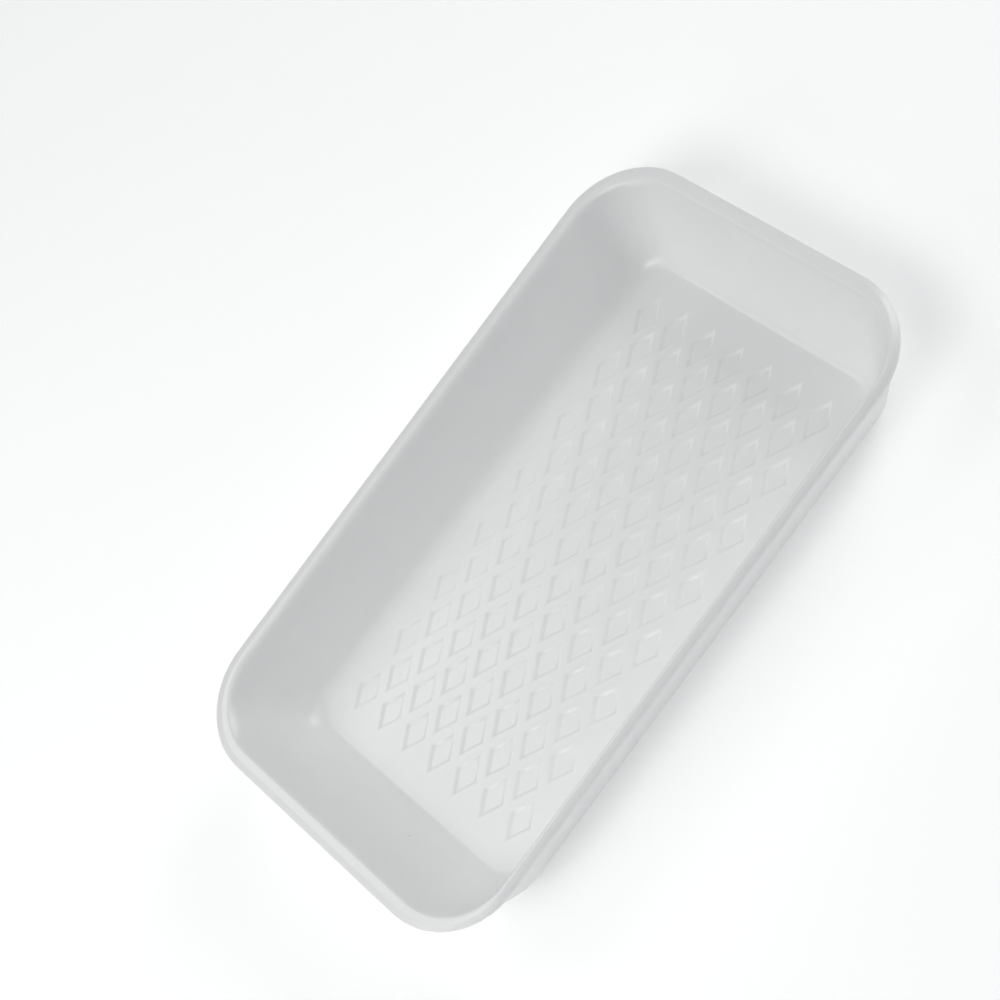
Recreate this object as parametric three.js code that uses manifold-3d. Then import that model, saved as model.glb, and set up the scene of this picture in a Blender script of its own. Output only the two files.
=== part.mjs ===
// Foam grocery tray: one pressed sheet of white polystyrene foam, 8 1/4 x 4 3/4 x 1.15 inches.
// Millimetres, +Z up, +X along the tray. The origin is under its middle, on the plane it stands on.

import * as THREE from 'three';
import { ParametricGeometry } from 'three/addons/geometries/ParametricGeometry.js';
import { mergeVertices } from 'three/addons/utils/BufferGeometryUtils.js';
import Module from 'manifold-3d';

// Driving dimensions: the tray over its rim
const INCH = 25.4;
const LENGTH = 8.25 * INCH;
const WIDTH = 4.75 * INCH;
const HEIGHT = 1.15 * INCH;
const RIM_CORNER = 25;        // radius of the rim's corners in plan

// The sheet
const SHEET = 3.0;            // foam left after pressing, in the floor and the walls
const RIM_EDGE = 1.8;         // the rim is pinched thinner where it was cut off

// The floor, measured to where its plane would meet the planes of the walls
const FLOOR_LENGTH = 170.5;
const FLOOR_WIDTH = 91;
const FLOOR_CORNER = 8;
const FLOOR_BEND = [2.3, 4.0]; // how far the hollow curve into the wall reaches in: ends, sides
const FLOOR_BEND_RISE = 4.2;   // and how far it reaches up

// The rim: a narrow ledge with a crest, which rolls over into the wall and droops to its cut edge
const RIM_WIDTH = [5.5, 3.9]; // from the cut edge to where the ledge would meet the wall: ends, sides
const RIM_CORNER_WIDTH = 4.7; // and by how much its corner radius is smaller there
const ROLL_WIDTH = 1.2;
const ROLL_DROP = 5.0;
const DROOP = 0.9;
const DROOP_WIDTH = 2.0;      // the ledge's outer strip, which droops
const DROOP_BEND = 0.4;
const EDGE_ROUND = 0.8;
const UNDER_ROUND = 1.0;

// The tray was cut out a little off its form's middle, and the soft foam stands slightly askew
const TRIM_OFFSET = 1.15;     // the form lies this far to -Y inside the cut outline
const TRIM_BLEND = 4.0;       // reached this far in from the cut edge
const LEAN = 1.3;             // the floor lies this far to +X of the rim

// The floor is crowned: its panel rises gently to the middle
const CROWN = 2.8;
const CROWN_LENGTH = 157;
const CROWN_WIDTH = 80;

// Diamond relief: pits in rows, each second row set half a step over
const DIAMOND_STEP_X = 19.46;
const DIAMOND_STEP_Y = 11.28;
const DIAMOND_COLUMNS = 8;
const DIAMOND_ROWS = 7;
const DIAMOND_FILL = 0.70;    // diamond size as a share of the step
const DIAMOND_DEPTH = 0.7;
const DIAMOND_SLOPE = 0.9;    // width of a pit's sloping side
const CUTTER_RISE = 0.6;      // the cutter stands this far out of the floor

// Fineness of the shell
const CORNER_STEPS = 8;
const SIDE_STEPS = [5, 9];    // along each end, along each side
const PANEL_RINGS = 6;
const BEND_STEPS = 4;

const foam = new THREE.MeshStandardMaterial({
  name: 'white_foam',
  color: 0xe4e6e6,
  roughness: 0.55,
  metalness: 0.0,
});

// A ring is one level line of the shell, a rounded rectangle kept in a Vector4 as
// x = half its length, y = half its width, z = its corner radius, w = its height.
const ring = (halfLength, halfWidth, corner, height) => (
  new THREE.Vector4(halfLength, halfWidth, corner, height)
);

// The inner and outer faces of the wall, as rings at any height
const END_SLOPE = (LENGTH / 2 - RIM_WIDTH[0] - FLOOR_LENGTH / 2) / (HEIGHT - SHEET);
const SIDE_SLOPE = (WIDTH / 2 - RIM_WIDTH[1] - FLOOR_WIDTH / 2) / (HEIGHT - SHEET);
const CORNER_SLOPE = (RIM_CORNER - RIM_CORNER_WIDTH - FLOOR_CORNER) / (HEIGHT - SHEET);

function innerWall(height) {
  const rise = height - SHEET;
  return ring(
    FLOOR_LENGTH / 2 + rise * END_SLOPE,
    FLOOR_WIDTH / 2 + rise * SIDE_SLOPE,
    FLOOR_CORNER + rise * CORNER_SLOPE,
    height,
  );
}

function outerWall(height) {
  const inner = innerWall(height);
  return ring(
    inner.x + SHEET * Math.hypot(1, END_SLOPE),
    inner.y + SHEET * Math.hypot(1, SIDE_SLOPE),
    inner.z + SHEET,
    height,
  );
}

// A ring moved sideways by the same amount all round
function grown(base, amount, height = base.w) {
  return ring(base.x + amount, base.y + amount, base.z + amount, height);
}

// The rings of a rounded bend from one ring to another, with the ring where their planes meet
function bend(from, corner, to) {
  return Array.from({ length: BEND_STEPS + 1 }, (_, step) => {
    const share = step / BEND_STEPS;
    const early = from.clone().lerp(corner, share);
    const late = corner.clone().lerp(to, share);
    return early.lerp(late, share);
  });
}

// The curve between the floor's flat margin and the wall, on either face of the sheet
function floorBend(wallAt, height) {
  const corner = wallAt(height);
  const margin = ring(
    corner.x - FLOOR_BEND[0],
    corner.y - FLOOR_BEND[1],
    corner.z,
    height,
  );
  return bend(margin, corner, wallAt(height + FLOOR_BEND_RISE));
}

// The rim, from the wall's inner face over the ledge and round the cut edge to its outer face
function rimRings() {
  const edge = ring(LENGTH / 2, WIDTH / 2, RIM_CORNER, HEIGHT - DROOP);
  const ledgeEnd = innerWall(HEIGHT);
  const edgeFoot = grown(edge, 0, HEIGHT - DROOP - RIM_EDGE);
  const crest = grown(ledgeEnd, ROLL_WIDTH);
  const droopStart = grown(edge, -DROOP_WIDTH - DROOP_BEND, HEIGHT);
  const lip = grown(edge, -EDGE_ROUND / 2);
  const underCorner = outerWall(edgeFoot.w);
  return [
    ...bend(innerWall(HEIGHT - ROLL_DROP), ledgeEnd, crest),
    ...bend(droopStart, grown(edge, -DROOP_WIDTH, HEIGHT), lip),
    ...bend(lip, edge, grown(edge, 0, edge.w - EDGE_ROUND)).slice(1),
    ...bend(grown(edgeFoot, 0, edgeFoot.w + EDGE_ROUND / 2), edgeFoot, grown(edgeFoot, -EDGE_ROUND / 2)),
    ...bend(grown(underCorner, UNDER_ROUND), underCorner, outerWall(edgeFoot.w - UNDER_ROUND)),
  ];
}

// Rings of the crowned panel, square-cornered, from the middle of the floor out to its flat margin
function panelRings(height) {
  return Array.from({ length: PANEL_RINGS + 1 }, (_, step) => {
    const share = step / PANEL_RINGS;
    return ring(share * CROWN_LENGTH / 2, share * CROWN_WIDTH / 2, 0, height);
  });
}

// All rings of the closed shell, from the middle of the floor out, over the rim and back below
function shellRings() {
  return [
    ...panelRings(SHEET),
    ...floorBend(innerWall, SHEET),
    ...rimRings(),
    ...floorBend(outerWall, 0).toReversed(),
    ...panelRings(0).toReversed(),
  ];
}

// How far the crowned panel stands up at a point of the floor
function crownAt(x, y) {
  const along = 1 - (2 * x / CROWN_LENGTH) ** 2;
  const across = 1 - (2 * y / CROWN_WIDTH) ** 2;
  return along > 0 && across > 0 ? CROWN * along * across : 0;
}

// A point of a ring, going round it corner by corner: each quarter is an arc and a straight
const QUARTER_SIGNS = [[1, 1], [-1, 1], [-1, -1], [1, -1]];

function arcPoint(level, quarter, turn) {
  const [signX, signY] = QUARTER_SIGNS[quarter % 4];
  const angle = (quarter + turn) * Math.PI / 2;
  return new THREE.Vector2(
    signX * (level.x - level.z) + level.z * Math.cos(angle),
    signY * (level.y - level.z) + level.z * Math.sin(angle),
  );
}

const HALF_COLUMNS = 2 * CORNER_STEPS + SIDE_STEPS[0] + SIDE_STEPS[1];

function ringPoint(level, column) {
  const half = Math.floor(column / HALF_COLUMNS);
  const place = column - half * HALF_COLUMNS;
  const second = place >= CORNER_STEPS + SIDE_STEPS[1];
  const quarter = 2 * half + (second ? 1 : 0);
  const step = place - (second ? CORNER_STEPS + SIDE_STEPS[1] : 0);
  if (step <= CORNER_STEPS) {
    return arcPoint(level, quarter, step / CORNER_STEPS);
  }
  const share = (step - CORNER_STEPS) / SIDE_STEPS[second ? 0 : 1];
  return arcPoint(level, quarter, 1).lerp(arcPoint(level, quarter + 1, 0), share);
}

// Moves a point of the centred form to where it lies inside the cut outline
function settled(x, y, z) {
  const pastX = Math.abs(x) - (LENGTH / 2 - RIM_CORNER);
  const pastY = Math.abs(y) - (WIDTH / 2 - RIM_CORNER);
  const past = Math.hypot(Math.max(pastX, 0), Math.max(pastY, 0)) + Math.min(Math.max(pastX, pastY), 0);
  const share = Math.min(1, Math.max(0, RIM_CORNER - past) / TRIM_BLEND);
  return new THREE.Vector3(x + share * LEAN * (1 - z / HEIGHT), y - share * TRIM_OFFSET, z);
}

// The whole tray without its relief, as one closed surface of columns and rings
function shellGeometry() {
  const rings = shellRings();
  const columns = 2 * HALF_COLUMNS;
  const floorHeights = [0, SHEET];
  const surface = (u, v, target) => {
    const level = rings[Math.round(v * (rings.length - 1))];
    const point = ringPoint(level, Math.round((1 - u) * columns) % columns);
    const lift = floorHeights.includes(level.w) ? crownAt(point.x, point.y) : 0;
    target.copy(settled(point.x, point.y, level.w + lift));
  };
  return new ParametricGeometry(surface, columns, rings.length - 1);
}

// A cutter for one diamond pit: a four-sided taper that widens upwards
function pitCutter(x, y) {
  const halfX = DIAMOND_FILL * DIAMOND_STEP_X / 2;
  const halfY = DIAMOND_FILL * DIAMOND_STEP_Y / 2;
  const inscribed = halfX * halfY / Math.hypot(halfX, halfY);
  const floorScale = 1 - DIAMOND_SLOPE / inscribed;
  const topScale = 1 + (1 - floorScale) * CUTTER_RISE / DIAMOND_DEPTH;
  const cutter = new THREE.CylinderGeometry(topScale, floorScale, DIAMOND_DEPTH + CUTTER_RISE, 4);
  cutter.rotateX(Math.PI / 2);
  cutter.scale(halfX, halfY, 1);
  cutter.translate(0, 0, (CUTTER_RISE - DIAMOND_DEPTH) / 2);
  const slopeX = (crownAt(x + 1, y) - crownAt(x - 1, y)) / 2;
  const slopeY = (crownAt(x, y + 1) - crownAt(x, y - 1)) / 2;
  const upright = new THREE.Vector3(-slopeX, -slopeY, 1).normalize();
  const tilt = new THREE.Quaternion().setFromUnitVectors(new THREE.Vector3(0, 0, 1), upright);
  cutter.applyQuaternion(tilt);
  const place = settled(x, y, SHEET + crownAt(x, y));
  cutter.translate(place.x, place.y, place.z);
  return cutter;
}

// The middles of all diamonds: full rows, with rows one shorter in between
function diamondPlaces() {
  const places = [];
  for (let halfRow = 0; halfRow < 2 * DIAMOND_ROWS - 1; halfRow += 1) {
    const columns = DIAMOND_COLUMNS - halfRow % 2;
    const y = (halfRow / 2 - (DIAMOND_ROWS - 1) / 2) * DIAMOND_STEP_Y;
    for (let column = 0; column < columns; column += 1) {
      places.push([(column - (columns - 1) / 2) * DIAMOND_STEP_X, y]);
    }
  }
  return places;
}

// Closed meshes in and out of the solid library
const wasm = await Module();
wasm.setup();

function toSolid(geometry) {
  const bare = geometry.clone();
  bare.deleteAttribute('normal');
  bare.deleteAttribute('uv');
  const merged = mergeVertices(bare, 1e-4);
  const corners = merged.index.array;
  const kept = [];
  for (let first = 0; first < corners.length; first += 3) {
    const [a, b, c] = corners.slice(first, first + 3);
    if (a !== b && b !== c && c !== a) {
      kept.push(a, b, c);
    }
  }
  return new wasm.Manifold(new wasm.Mesh({
    numProp: 3,
    vertProperties: Float32Array.from(merged.attributes.position.array),
    triVerts: Uint32Array.from(kept),
  }));
}

function toGeometry(solid) {
  const mesh = solid.getMesh();
  const geometry = new THREE.BufferGeometry();
  geometry.setAttribute('position', new THREE.BufferAttribute(mesh.vertProperties, 3));
  geometry.setIndex(new THREE.BufferAttribute(mesh.triVerts, 1));
  geometry.computeVertexNormals();
  return geometry;
}

function trayGeometry() {
  const pits = diamondPlaces()
    .map(([x, y]) => toSolid(pitCutter(x, y)))
    .reduce((joined, pit) => joined.add(pit));
  return toGeometry(toSolid(shellGeometry()).subtract(pits));
}

const tray = new THREE.Mesh(trayGeometry(), foam);
tray.name = 'tray';

const foamTray = new THREE.Group();
foamTray.add(tray);

export default foamTray;
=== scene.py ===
# %% [markdown]
# # A foam grocery tray
# The object is one pressed sheet of white polystyrene foam: an open tray with a rolled rim, sloping
# walls and a floor pressed with diamonds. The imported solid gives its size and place. This lesson
# models the same tray again as a finer surface, gives it the look of foam, lights it and frames it.

from math import cos, hypot, pi, radians, sin

import bmesh
import bpy
from mathutils import Matrix, Vector, noise


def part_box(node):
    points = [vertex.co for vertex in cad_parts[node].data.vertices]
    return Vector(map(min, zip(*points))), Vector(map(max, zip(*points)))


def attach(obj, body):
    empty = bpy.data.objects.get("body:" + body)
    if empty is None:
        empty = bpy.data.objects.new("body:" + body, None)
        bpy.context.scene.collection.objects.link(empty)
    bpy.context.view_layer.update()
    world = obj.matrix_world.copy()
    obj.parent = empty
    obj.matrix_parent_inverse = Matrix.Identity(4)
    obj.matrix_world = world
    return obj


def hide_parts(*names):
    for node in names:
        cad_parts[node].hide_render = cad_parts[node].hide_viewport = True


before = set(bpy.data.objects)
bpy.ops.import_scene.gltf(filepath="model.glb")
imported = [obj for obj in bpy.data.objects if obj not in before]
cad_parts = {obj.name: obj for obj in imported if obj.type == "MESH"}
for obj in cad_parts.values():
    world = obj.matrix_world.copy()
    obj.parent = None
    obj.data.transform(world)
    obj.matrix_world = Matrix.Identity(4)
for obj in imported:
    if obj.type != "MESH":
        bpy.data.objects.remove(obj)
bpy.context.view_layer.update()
tray_low, tray_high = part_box("tray")
print("packed tray, metres:", tuple(tray_low), tuple(tray_high))

# %% [markdown]
# ## Sizes
# The outside of the tray comes from the frame, so the finer model can't drift away from the solid.
# The other sizes are those of the press tool: the floor, the bends, the rim and the relief. A size in
# millimetres is easy to read, so each is written as millimetres times `MM`.

# %% Sizes of the tray
MM = 0.001
TOLERANCE = 0.01 * MM         # heights closer than this are the same

LENGTH = tray_high.x - tray_low.x
WIDTH = tray_high.y - tray_low.y
HEIGHT = tray_high.z - tray_low.z
SHEET = 3.0 * MM              # foam thickness in the floor and the walls

RIM_CORNER = 25 * MM          # plan radius of the rim's corners
RIM_WIDTH_END = 5.5 * MM      # the narrow ledge at the ends, from the cut edge to the wall
RIM_WIDTH_SIDE = 3.9 * MM     # and along the sides
RIM_CORNER_WIDTH = 4.7 * MM   # and by how much its corner radius is smaller there
RIM_EDGE = 1.8 * MM           # thickness where the tray was cut from its sheet
DROOP = 0.9 * MM              # how far the cut edge hangs below the ledge's crest
DROOP_WIDTH = 2.0 * MM        # the ledge's outer strip, which droops
DROOP_BEND = 0.4 * MM         # where the droop begins, this far in from the strip
ROLL_WIDTH = 1.2 * MM         # the roll from the ledge into the wall: how far out it reaches
ROLL_DROP = 5.0 * MM          # and how far down
EDGE_ROUND = 0.8 * MM         # rounding of the cut edge
UNDER_ROUND = 1.0 * MM        # rounding of the hollow under the ledge

FLOOR_LENGTH = 170.5 * MM     # measured to where floor and wall planes would meet
FLOOR_WIDTH = 91 * MM
FLOOR_CORNER = 8 * MM
FLOOR_BEND_END = 2.3 * MM     # reach of the hollow bend into the floor, at the ends
FLOOR_BEND_SIDE = 4.0 * MM    # and along the sides
FLOOR_BEND_RISE = 4.2 * MM    # and up the wall

CROWN = 2.8 * MM              # the floor's middle stands this much higher than its margin
CROWN_LENGTH = 157 * MM
CROWN_WIDTH = 80 * MM

TRIM_OFFSET = 1.15 * MM       # the form lies this far to -Y inside its cut outline
TRIM_BLEND = 4.0 * MM         # reached this far in from the cut edge
LEAN = 1.3 * MM               # the floor lies this far to +X of the rim

print(f"tray {LENGTH / MM:.1f} x {WIDTH / MM:.1f} x {HEIGHT / MM:.1f} mm")

# %% [markdown]
# ## Level lines of the wall
# A pressed tray is easiest to think of as a stack of level lines. Each is a rounded rectangle, known
# by its half length, half width, corner radius and height. A `Vector` of four numbers holds one, so
# that two level lines can be blended with `lerp`, and a rounded bend is a blend of blends.

# %% Level lines
def ring(half_length, half_width, corner, height):
    return Vector((half_length, half_width, corner, height))


def grown(base, amount, height=None):
    """The same level line, moved outwards all round, and up or down if a height is given."""
    return ring(
        base[0] + amount,
        base[1] + amount,
        base[2] + amount,
        base[3] if height is None else height,
    )


def bend(start, corner, end, steps):
    """Level lines of a rounded bend; corner is where the two flat stretches would meet."""
    lines = []
    for step in range(steps + 1):
        share = step / steps
        lines.append(start.lerp(corner, share).lerp(corner.lerp(end, share), share))
    return lines


END_SLOPE = (LENGTH / 2 - RIM_WIDTH_END - FLOOR_LENGTH / 2) / (HEIGHT - SHEET)
SIDE_SLOPE = (WIDTH / 2 - RIM_WIDTH_SIDE - FLOOR_WIDTH / 2) / (HEIGHT - SHEET)
CORNER_SLOPE = (RIM_CORNER - RIM_CORNER_WIDTH - FLOOR_CORNER) / (HEIGHT - SHEET)


def inner_wall(height):
    rise = height - SHEET
    return ring(
        FLOOR_LENGTH / 2 + rise * END_SLOPE,
        FLOOR_WIDTH / 2 + rise * SIDE_SLOPE,
        FLOOR_CORNER + rise * CORNER_SLOPE,
        height,
    )


def outer_wall(height):
    inner = inner_wall(height)
    return ring(
        inner[0] + SHEET * hypot(1, END_SLOPE),
        inner[1] + SHEET * hypot(1, SIDE_SLOPE),
        inner[2] + SHEET,
        height,
    )


def wall_run(wall, low, high, steps):
    """Level lines strictly between two heights, so that a long wall can wave a little."""
    return [wall(low + (high - low) * step / steps) for step in range(1, steps)]


print(f"ends lean {END_SLOPE:.2f}, sides lean {SIDE_SLOPE:.2f}, run over rise")

# %% [markdown]
# The profile of the sheet is then a list of level lines: up the inside of the wall, over the ledge,
# round the cut edge, back under it and down the outside. The rim could be a bevel on a sharp corner,
# but its roll, its droop and its pinched edge are different curves, so each gets its own bend.

# %% The profile from the floor over the rim and back
FLOOR_BEND_STEPS = 8
ROLL_STEPS = 9
DROOP_STEPS = 7
EDGE_STEPS = 5
FOOT_STEPS = 4
UNDER_STEPS = 5
WALL_STEPS = 6


def floor_margin(wall, height):
    corner = wall(height)
    return ring(
        corner[0] - FLOOR_BEND_END,
        corner[1] - FLOOR_BEND_SIDE,
        corner[2],
        height,
    )


def floor_bend(wall, height):
    top = wall(height + FLOOR_BEND_RISE)
    return bend(floor_margin(wall, height), wall(height), top, FLOOR_BEND_STEPS)


def rim_profile():
    edge = ring(LENGTH / 2, WIDTH / 2, RIM_CORNER, HEIGHT - DROOP)
    foot = grown(edge, 0, HEIGHT - DROOP - RIM_EDGE)
    crest = grown(inner_wall(HEIGHT), ROLL_WIDTH)
    under = outer_wall(foot[3])
    under_end = outer_wall(foot[3] - UNDER_ROUND)
    half_round = EDGE_ROUND / 2
    droop_start = grown(edge, -DROOP_WIDTH - DROOP_BEND, HEIGHT)
    lip = grown(edge, -half_round)
    edge_end = grown(edge, 0, edge[3] - EDGE_ROUND)
    foot_start = grown(foot, 0, foot[3] + half_round)
    return [
        *bend(inner_wall(HEIGHT - ROLL_DROP), inner_wall(HEIGHT), crest, ROLL_STEPS),
        *bend(droop_start, grown(edge, -DROOP_WIDTH, HEIGHT), lip, DROOP_STEPS),
        *bend(lip, edge, edge_end, EDGE_STEPS)[1:],
        *bend(foot_start, foot, grown(foot, -half_round), FOOT_STEPS),
        *bend(grown(under, UNDER_ROUND), under, under_end, UNDER_STEPS),
    ]


inside_bend = floor_bend(inner_wall, SHEET)
outside_bend = floor_bend(outer_wall, 0)
outside_bend.reverse()
rim = rim_profile()
inside_wall = wall_run(inner_wall, SHEET + FLOOR_BEND_RISE, rim[0][3], WALL_STEPS)
outside_wall = wall_run(outer_wall, rim[-1][3], FLOOR_BEND_RISE, WALL_STEPS)
profile = [*inside_bend, *inside_wall, *rim, *outside_wall, *outside_bend]
print("level lines in the profile:", len(profile))

# %% [markdown]
# ## The floor as a net of diamonds
# The relief is a net of diamonds, with each second row set half a step over. That is a square grid
# turned by 45 degrees and stretched, so one grid operator makes all the diamonds at once. Cutting
# the net with planes along the floor's outline is like trimming a sheet with a die: one plane for
# each straight side, and a fan of them round each corner.

# %% The diamond net
STEP_X = 19.46 * MM
STEP_Y = 11.28 * MM
COLUMNS = 8
ROWS = 7
NET_CELLS = 16                # cells along one side of the turned grid, enough to cover the floor
NET_HALF_SIDE = NET_CELLS / 2 / 2 ** 0.5    # with this, a cell's diagonals are one step long
CORNER_CUTS = 12              # cutting planes in a quarter turn
CUTS = 4 * CORNER_CUTS
ON_AXIS = 1e-6                # a sine or cosine smaller than this is zero
SLIVER = 0.25 * MM            # corners closer than this are one corner


def cut_outline(bm, outline):
    """Trims a flat mesh to a rounded rectangle, plane by plane."""
    half_length, half_width, corner, height = outline
    for cut in range(CUTS):
        angle = 2 * pi * cut / CUTS
        side_x = 1 if cos(angle) > -ON_AXIS else -1
        side_y = 1 if sin(angle) > -ON_AXIS else -1
        outward = Vector((cos(angle), sin(angle), 0))
        middle = Vector((side_x * (half_length - corner), side_y * (half_width - corner), height))
        bmesh.ops.bisect_plane(
            bm,
            geom=[*bm.verts, *bm.edges, *bm.faces],
            plane_co=middle + corner * outward,
            plane_no=outward,
            clear_outer=True,
        )


def on_outline(point, old, new):
    """Where a point of one level line goes on another: same place along it, same way out."""
    core_old = Vector((old[0] - old[2], old[1] - old[2]))
    core_new = Vector((new[0] - new[2], new[1] - new[2]))
    core = Vector((
        max(-core_old.x, min(core_old.x, point.x)),
        max(-core_old.y, min(core_old.y, point.y)),
    ))
    out = (Vector((point.x, point.y)) - core).normalized()
    return Vector((
        core.x * core_new.x / core_old.x + out.x * new[2],
        core.y * core_new.y / core_old.y + out.y * new[2],
        new[3],
    ))


def open_edges(edges):
    return [edge for edge in edges if edge.is_boundary]


margin = inside_bend[0]
bm = bmesh.new()
bmesh.ops.create_grid(
    bm,
    x_segments=NET_CELLS,
    y_segments=NET_CELLS,
    size=NET_HALF_SIDE,
    matrix=(
        Matrix.Translation((0, 0, margin[3]))
        @ Matrix.Diagonal((STEP_X, STEP_Y, 1, 1))
        @ Matrix.Rotation(radians(45), 4, "Z")
    ),
)
cut_outline(bm, margin)
bmesh.ops.remove_doubles(bm, verts=bm.verts, dist=SLIVER)
for vert in bm.verts:
    if vert.is_boundary:
        vert.co = on_outline(vert.co, margin, margin)
print("net of", len(bm.faces), "cells,", len(open_edges(bm.edges)), "edges round it")

# %% [markdown]
# ## From the net to a closed shell
# Before it gets its relief, the flat net is copied and laid under the sheet, where it becomes the
# underside. Then the edge of the net is extruded from level line to level line: up the wall, over the
# rim, down again and in to the copy. Every extrusion keeps the same number of corners, so the last
# level line falls exactly on the copy's edge and merging doubles closes the shell.

# %% Extrude the wall and the rim
WELD = SLIVER / 5             # two corners closer than this close the shell

under_net = bmesh.ops.duplicate(bm, geom=[*bm.verts, *bm.edges, *bm.faces])["geom"]
under_verts = [item for item in under_net if isinstance(item, bmesh.types.BMVert)]
under_faces = [item for item in under_net if isinstance(item, bmesh.types.BMFace)]
under_edges = set(item for item in under_net if isinstance(item, bmesh.types.BMEdge))
bmesh.ops.translate(bm, verts=under_verts, vec=(0, 0, -margin[3]))
bmesh.ops.reverse_faces(bm, faces=under_faces)

loop = [edge for edge in open_edges(bm.edges) if edge not in under_edges]
levels = [*profile, ring(margin[0], margin[1], margin[2], 0)]
for before, after in zip(levels, levels[1:]):
    made = bmesh.ops.extrude_edge_only(bm, edges=loop)["geom"]
    for vert in (item for item in made if isinstance(item, bmesh.types.BMVert)):
        vert.co = on_outline(vert.co, before, after)
    loop = open_edges(item for item in made if isinstance(item, bmesh.types.BMEdge))

bmesh.ops.remove_doubles(bm, verts=bm.verts, dist=WELD)
print("open edges left:", len(open_edges(bm.edges)), "faces:", len(bm.faces))

# %% [markdown]
# ## Pressing the diamonds
# Each whole diamond of the net is inset twice: once to leave the band between two pits, and once more
# with a negative depth, which makes the sloping side and the pit's floor. An even offset keeps band
# and side equally wide at the sharp and the blunt corners. Foam can't hold a knife edge, so the mouth
# and the foot of every pit are bevelled.

# %% Inset and bevel the pits
FILL = 0.70                   # size of a pit's mouth as a share of its cell
PIT_DEPTH = 0.75 * MM
PIT_SLOPE = 0.7 * MM          # width of a pit's sloping side
PIT_ROUND = 0.4 * MM
PIT_ROUND_STEPS = 4
AREA_TOLERANCE = 0.01         # a cell with this share of its area missing was cut by the outline

cell_inradius = STEP_X * STEP_Y / 2 / hypot(STEP_X, STEP_Y)
cell_area = STEP_X * STEP_Y / 2
band = (1 - FILL) * cell_inradius


def is_pit(face):
    """Whole diamonds within the pattern; those cut by the outline stay flat."""
    centre = face.calc_center_median()
    return (
        abs(centre.z - SHEET) < TOLERANCE
        and abs(face.calc_area() - cell_area) < AREA_TOLERANCE * cell_area
        and abs(centre.x) < COLUMNS / 2 * STEP_X
        and abs(centre.y) < ROWS / 2 * STEP_Y
    )


pits = [face for face in bm.faces if is_pit(face)]
bmesh.ops.inset_individual(bm, faces=pits, thickness=band, depth=0, use_even_offset=True)
mouths = [edge for face in pits for edge in face.edges]
bmesh.ops.inset_individual(
    bm, faces=pits, thickness=PIT_SLOPE, depth=-PIT_DEPTH, use_even_offset=True
)
feet = [edge for face in pits for edge in face.edges]
bmesh.ops.bevel(
    bm,
    geom=[*mouths, *feet],
    offset=PIT_ROUND,
    offset_type="OFFSET",
    affect="EDGES",
    segments=PIT_ROUND_STEPS,
    profile=0.5,
    material=-1,
    clamp_overlap=True,
)
print("pits:", len(pits), "faces:", len(bm.faces))

# %% [markdown]
# ## Crown, trim and wave
# The floor isn't flat: the press leaves it slightly crowned, so that the tray stands on its margin.
# Moving every corner of the two floor faces up by one smooth function does that without touching the
# net. The tray was also cut out a millimetre off the middle of its form, so one side of the rim is
# wider than the other, and soft foam stands a little askew: both are shifts of everything but the cut
# edge. A very slow noise of a tenth of a millimetre then takes the machined look off the walls.

# %% Crown the floor, settle the form in its outline and let the walls wave
WAVE = 0.10 * MM
WAVE_LENGTH = 45 * MM
WAVE_BLEND = 8 * MM           # the wave dies out this far from the floor and from the rim's crest
OTHER_SLICE = 3               # a height at which the same noise has other values


def crown_at(x, y):
    along = 1 - (2 * x / CROWN_LENGTH) ** 2
    across = 1 - (2 * y / CROWN_WIDTH) ** 2
    return CROWN * along * across if along > 0 and across > 0 else 0.0


def inset_at(x, y):
    """How far in from the cut outline a point lies."""
    past_x = abs(x) - (LENGTH / 2 - RIM_CORNER)
    past_y = abs(y) - (WIDTH / 2 - RIM_CORNER)
    past = hypot(max(past_x, 0), max(past_y, 0)) + min(max(past_x, past_y), 0)
    return RIM_CORNER - past


def share_of(distance, whole):
    return min(1, max(0, distance / whole))


for vert in bm.verts:
    x, y, z = vert.co
    inside = share_of(inset_at(x, y), TRIM_BLEND)
    vert.co.x += inside * LEAN * (1 - z / HEIGHT)
    vert.co.y -= inside * TRIM_OFFSET
    if z < SHEET + TOLERANCE:
        vert.co.z += crown_at(x, y)
    wave = WAVE * inside * share_of(min(z, HEIGHT - z), WAVE_BLEND)
    vert.co.x += wave * noise.noise(Vector((x, y, 0)) / WAVE_LENGTH)
    vert.co.y += wave * noise.noise(Vector((y, x, OTHER_SLICE)) / WAVE_LENGTH)

bmesh.ops.recalc_face_normals(bm, faces=bm.faces)
for face in bm.faces:
    face.smooth = True

sheet_mesh = bpy.data.meshes.new("pressed_foam_tray")
bm.to_mesh(sheet_mesh)
bm.free()
tray = bpy.data.objects.new("pressed_foam_tray", sheet_mesh)
bpy.context.scene.collection.objects.link(tray)
print("tray mesh:", len(sheet_mesh.vertices), "corners,", len(sheet_mesh.polygons), "faces")

# %% [markdown]
# Large flat faces beside narrow bevels pick up a false gradient from averaged normals. Weighting the
# normals by face area keeps the flats flat, without one more face.

# %% Keep the flats flat
weights = tray.modifiers.new("flat_faces_stay_flat", "WEIGHTED_NORMAL")
weights.mode = "FACE_AREA"
weights.keep_sharp = True
print("modifiers on the tray:", [modifier.name for modifier in tray.modifiers])

# %% [markdown]
# ## A shorthand for shader maths
# Shader maths is easier to read as an expression than as a chain of nodes. `Wire` wraps one output
# socket, and its operators add the Math node that they stand for. `Shading` holds a node tree, and its
# one method adds any other node from its type, its settings and the values or wires of its sockets.

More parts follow.
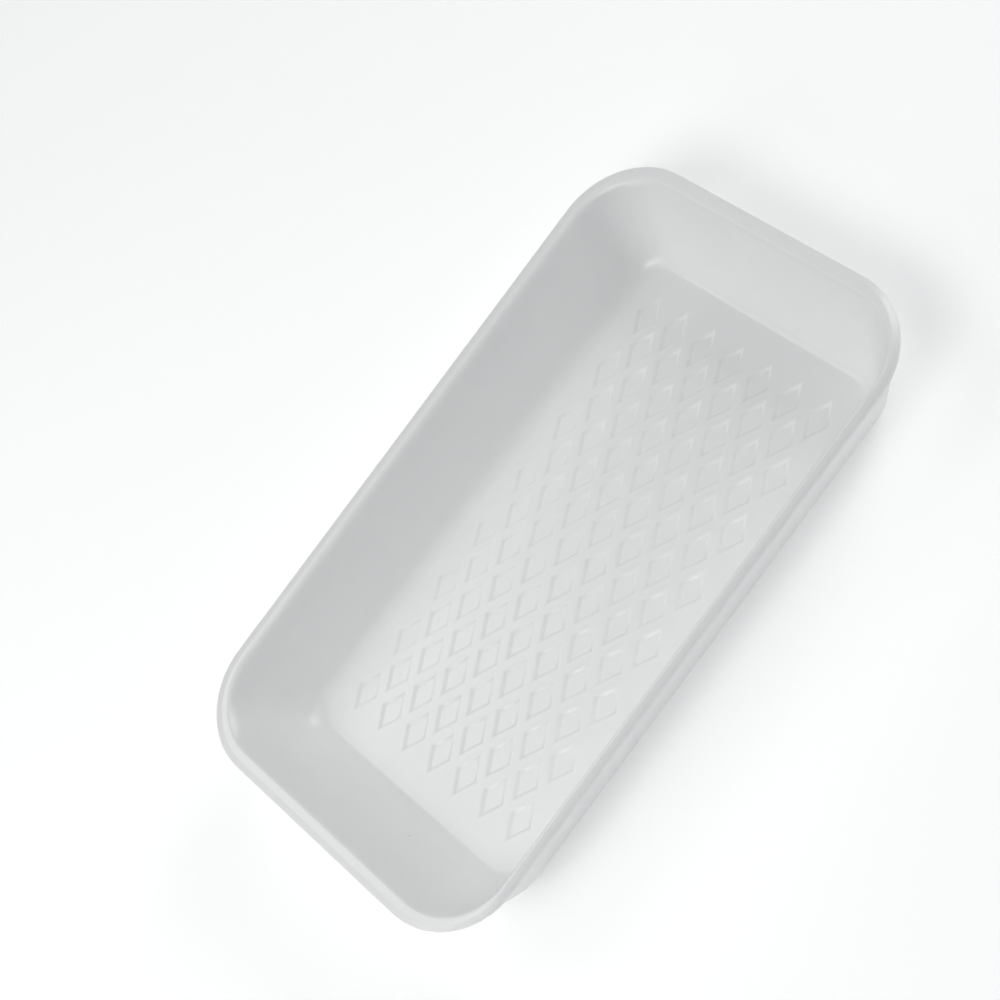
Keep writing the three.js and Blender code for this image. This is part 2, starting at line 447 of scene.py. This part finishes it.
# %% Wires and nodes
class Wire:
    """One output socket; an expression on wires adds Math nodes."""

    def __init__(self, tree, socket):
        self.tree = tree
        self.socket = socket

    def _math(self, operation, *terms):
        node = self.tree.nodes.new("ShaderNodeMath")
        node.operation = operation
        for slot, term in zip(node.inputs, terms):
            if isinstance(term, Wire):
                self.tree.links.new(term.socket, slot)
            else:
                slot.default_value = term
        return Wire(self.tree, node.outputs[0])

    def __add__(self, other):
        return self._math("ADD", self, other)

    def __radd__(self, other):
        return self._math("ADD", other, self)

    def __mul__(self, other):
        return self._math("MULTIPLY", self, other)

    def __rmul__(self, other):
        return self._math("MULTIPLY", other, self)


class Shading:
    """A material's node tree."""

    def __init__(self, name):
        self.material = bpy.data.materials.new(name)
        self.material.use_nodes = True
        self.tree = self.material.node_tree
        self.tree.nodes.clear()

    def add(self, kind, settings=None, values=None):
        """Adds a node; settings are its own options, values its sockets by name or place."""
        node = self.tree.nodes.new("ShaderNode" + kind)
        for key, value in (settings or {}).items():
            setattr(node, key, value)
        for key, value in (values or {}).items():
            slot = node.inputs[key]
            if isinstance(value, Wire):
                self.tree.links.new(value.socket, slot)
            else:
                slot.default_value = value
        return node

    def wire(self, node, output=0):
        return Wire(self.tree, node.outputs[output])


print("operators on a wire: + and *")

# %% [markdown]
# ## White foam
# Foam sheet is a skin of tiny closed cells. Close up it has a fine grain, a slightly pearly mottle and
# a soft satin sheen, and some light passes through it. A voronoi pattern is the obvious choice for
# cells: its distance makes a shallow bump, and a slower noise moves the colour and the roughness by a
# few hundredths. Two grains of dirt that the real tray has are small dark spots at fixed places.

# %% The foam's values
CELL = 0.42 * MM              # size of the closed cells
CELL_BLUR = 0.5
MOTTLE = 5 * MM               # size of the pearly patches
MOTTLE_DETAIL = 4
MOTTLE_ROUGHNESS = 0.6

SKIN_DULL = (0.862, 0.862, 0.862, 1)
SKIN_BRIGHT = (0.890, 0.890, 0.890, 1)
SKIN_ROUGHNESS = 0.28
SKIN_ROUGHNESS_RANGE = 0.12   # the mottle adds up to this much
SKIN_GLOSS = 0.9
SKIN_IOR = 1.45
CELL_SHARE = 0.6              # of the bump; the mottle makes the rest
BUMP_STRENGTH = 0.25
BUMP_DEPTH = 0.05 * MM

GLOW_SHARE = 0.2              # light that passes through the skin instead of leaving where it fell
GLOW_DEPTH = 1.5 * MM

DIRT_COLOUR = (0.10, 0.10, 0.10, 1)
DIRT_CORE = 0.4               # share of a speck's radius that is evenly dark
SPECKS = [                    # place, radius and darkness
    (Vector((-89.1, -14.5, 11.3)) * MM, 0.55 * MM, 0.25),
    (Vector((-72.6, -12.8, 3.3)) * MM, 0.40 * MM, 0.30),
]
print("cells", CELL / MM, "mm, mottle", MOTTLE / MM, "mm,", len(SPECKS), "specks")

# %% [markdown]
# The specks could be pieces of their own, but they are thinner than paint. Each is the distance to a
# place on the skin, turned into a soft-edged spot, and the sum of the spots mixes dirt into the foam.

# %% The foam material
def speck_spots(foam, place):
    """How much dirt there is at a place, from 0 to 1."""
    dirt = 0.0
    for centre, radius, darkness in SPECKS:
        distance = foam.wire(foam.add(
            "VectorMath", {"operation": "DISTANCE"}, {0: place, 1: centre},
        ), "Value")
        spot = foam.wire(foam.add(
            "MapRange",
            {"interpolation_type": "SMOOTHSTEP"},
            {"Value": distance, "From Min": DIRT_CORE * radius, "From Max": radius,
             "To Min": darkness, "To Max": 0.0},
        ), "Result")
        dirt = dirt + spot
    return dirt


def mixed(foam, share, first, second):
    """A colour between two others."""
    return foam.wire(foam.add(
        "Mix",
        {"data_type": "RGBA"},
        {"Factor": share, "A": first, "B": second},
    ), "Result")


def foam_material():
    foam = Shading("white_foam")
    place = foam.wire(foam.add("TexCoord"), "Object")
    cells = foam.wire(foam.add(
        "TexVoronoi",
        {"feature": "SMOOTH_F1"},
        {"Vector": place, "Scale": 1 / CELL, "Smoothness": CELL_BLUR},
    ), "Distance")
    mottle = foam.wire(foam.add(
        "TexNoise",
        values={
            "Vector": place,
            "Scale": 1 / MOTTLE,
            "Detail": MOTTLE_DETAIL,
            "Roughness": MOTTLE_ROUGHNESS,
        },
    ), "Fac")
    dirt = speck_spots(foam, place)
    clean = mixed(foam, mottle, SKIN_DULL, SKIN_BRIGHT)
    height = cells * CELL_SHARE + mottle * (1 - CELL_SHARE)
    bump = foam.wire(foam.add(
        "Bump",
        values={"Strength": BUMP_STRENGTH, "Distance": BUMP_DEPTH, "Height": height},
    ), "Normal")
    surface = foam.add(
        "BsdfPrincipled",
        values={
            "Base Color": mixed(foam, dirt, clean, DIRT_COLOUR),
            "Roughness": SKIN_ROUGHNESS + mottle * SKIN_ROUGHNESS_RANGE,
            "Specular IOR Level": SKIN_GLOSS,
            "Normal": bump,
            "IOR": SKIN_IOR,
            "Subsurface Weight": GLOW_SHARE,
            "Subsurface Radius": (1.0, 1.0, 1.0),
            "Subsurface Scale": GLOW_DEPTH,
        },
    )
    foam.add("OutputMaterial", values={"Surface": foam.wire(surface, "BSDF")})
    return foam.material


tray.data.materials.append(foam_material())
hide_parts("tray")
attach(tray, "root")
print("foam nodes:", len(tray.data.materials[0].node_tree.nodes))

# %% [markdown]
# ## The studio floor
# The tray stands on a plain white floor. Painted floor alone would look grey beside white foam, so it
# also glows a little, like a light table, and is nearly white right up to the tray.

# %% The floor
STAGE_SIZE = 2.0
STAGE_WHITE = (0.93, 0.93, 0.93, 1)
STAGE_ROUGHNESS = 0.7
STAGE_GLOW = 0.25


def stage_floor():
    floor_bm = bmesh.new()
    bmesh.ops.create_grid(floor_bm, x_segments=1, y_segments=1, size=STAGE_SIZE)
    floor_mesh = bpy.data.meshes.new("studio_floor")
    floor_bm.to_mesh(floor_mesh)
    floor_bm.free()
    floor = bpy.data.objects.new("studio_floor", floor_mesh)
    bpy.context.scene.collection.objects.link(floor)
    white = Shading("floor_white")
    paint = white.add(
        "BsdfPrincipled",
        values={
            "Base Color": STAGE_WHITE,
            "Roughness": STAGE_ROUGHNESS,
            "Emission Color": (1, 1, 1, 1),
            "Emission Strength": STAGE_GLOW,
        },
    )
    white.add("OutputMaterial", values={"Surface": white.wire(paint, "BSDF")})
    floor_mesh.materials.append(white.material)
    return floor


studio_floor = stage_floor()
print("stage:", studio_floor.name)

# %% [markdown]
# ## The light
# White foam shows its form only by soft differences in light, so several broad soft boxes stand round
# the tray. The two strongest face each other: one low on the right, one high on the left and a little
# in front, which puts bright strokes on the rounded edges of the pits. None stands straight in
# front, so the far wall, which faces the viewer, stays in soft shade. A pale bluish surround keeps
# every shadow open, and the lamps are a trace warmer, so that the floor of the tray comes out neutral.

# %% The lights
LAMP_TINT = (1.0, 0.99, 0.983)
LAMP_DISTANCE = 1.2
LAMP_SIZE = 0.6
SURROUND_TINT = (0.88, 0.96, 1.0, 1)
SURROUND_STRENGTH = 0.18


def soft_box(name, azimuth, elevation, power, distance=LAMP_DISTANCE, size=LAMP_SIZE):
    """A square area light that faces the tray; azimuth 0 is to the right, 90 behind."""
    data = bpy.data.lights.new(name, "AREA")
    data.shape = "SQUARE"
    data.size = size
    data.energy = power
    data.color = LAMP_TINT
    way = Vector((
        cos(radians(azimuth)) * cos(radians(elevation)),
        sin(radians(azimuth)) * cos(radians(elevation)),
        sin(radians(elevation)),
    ))
    light = bpy.data.objects.new(name, data)
    light.location = way * distance
    light.rotation_euler = way.to_track_quat("Z", "Y").to_euler()
    bpy.context.scene.collection.objects.link(light)


soft_box("right_low", azimuth=0, elevation=25, power=4.5)
soft_box("right_high", azimuth=0, elevation=55, power=0.9)
soft_box("left_high", azimuth=210, elevation=55, power=3.8, size=0.5)
soft_box("left_low", azimuth=180, elevation=25, power=1.5)
soft_box("back_left", azimuth=115, elevation=50, power=2.2)
soft_box("left_near", azimuth=180, elevation=50, power=0.4, distance=0.6, size=0.35)

surround = bpy.data.worlds.new("studio_surround")
surround.use_nodes = True
sky = surround.node_tree.nodes["Background"]
sky.inputs["Color"].default_value = SURROUND_TINT
sky.inputs["Strength"].default_value = SURROUND_STRENGTH
bpy.context.scene.world = surround
bpy.context.scene.view_settings.view_transform = "Standard"

# %% [markdown]
# ## The camera
# The picture was taken from in front of a long side, well above the tray, and then turned by a little
# more than half a right angle. So the camera tips down, and rolls about its own axis.

# %% The camera
CAMERA_PLACE = Vector((-9.4, -342.5, 513.8)) * MM
CAMERA_ELEVATION = radians(53.48)
CAMERA_TURN = radians(-1.51)
CAMERA_ROLL = radians(-52.10)
FOCAL_PIXELS = 2171
IMAGE_PIXELS = 1000
SENSOR_MILLIMETRES = 36

view = bpy.data.cameras.new("camera")
view.sensor_width = SENSOR_MILLIMETRES
view.lens = SENSOR_MILLIMETRES * FOCAL_PIXELS / IMAGE_PIXELS
view.clip_start = 10 * MM
camera = bpy.data.objects.new("camera", view)
camera.matrix_world = (
    Matrix.Translation(CAMERA_PLACE)
    @ Matrix.Rotation(CAMERA_TURN, 4, "Z")
    @ Matrix.Rotation(pi / 2 - CAMERA_ELEVATION, 4, "X")
    @ Matrix.Rotation(CAMERA_ROLL, 4, "Z")
)
bpy.context.scene.collection.objects.link(camera)
bpy.context.scene.camera = camera
print(f"lens {view.lens:.1f} mm")
